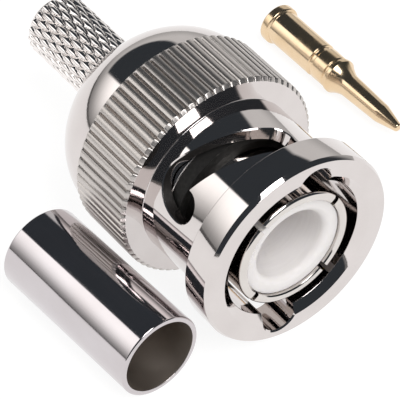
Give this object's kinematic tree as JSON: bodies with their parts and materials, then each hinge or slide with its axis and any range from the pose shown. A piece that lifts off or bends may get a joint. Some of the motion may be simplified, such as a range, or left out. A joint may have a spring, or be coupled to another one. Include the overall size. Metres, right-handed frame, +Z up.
{
  "type": "bnc coaxial cable plug",
  "caption": "Bayonet coaxial cable plug with a knurled coupling nut and a diamond-knurled crimp stem, and its loose crimp ferrule and gold centre pin.",
  "frame": {"origin": "on the plug's axis, at the front end of the outer contact", "axes": "+X out of the mating end along the plug's axis, +Z up from the surface that the three pieces lie on, +Y to the side of the centre pin"},
  "size_m": [0.0261, 0.0301, 0.0144],
  "materials": {
    "nut_nickel": "polished",
    "body_nickel": "polished",
    "contact_nickel": "satin",
    "ferrule_nickel": "satin",
    "spring_steel": "satin",
    "gold": "polished",
    "ptfe_white": "satin",
    "gasket_rubber": "matte"
  },
  "bodies": {
    "body": {"plug_body": "body_nickel", "outer_contact": "contact_nickel", "insulator": "ptfe_white", "gasket": "gasket_rubber", "retaining_ring": "spring_steel", "wave_washer": "spring_steel", "crimp_ferrule": "ferrule_nickel", "centre_pin": "gold"},
    "thrust": {"thrust_washer": "spring_steel"},
    "nut": {"coupling_nut": "nut_nickel"}
  },
  "joints": [
    {"name": "nut_slide", "type": "slide", "parent": "body", "child": "thrust", "axis": [1, 0, 0], "range_m": [0, 0.0006], "stiffness_N_per_m": 2000, "springref_m": -0.0003, "deforming": ["wave_washer"]},
    {"name": "nut_turn", "type": "hinge", "parent": "thrust", "child": "nut", "pos_m": [0, 0, 0], "axis": [1, 0, 0], "continuous": true}
  ]
}
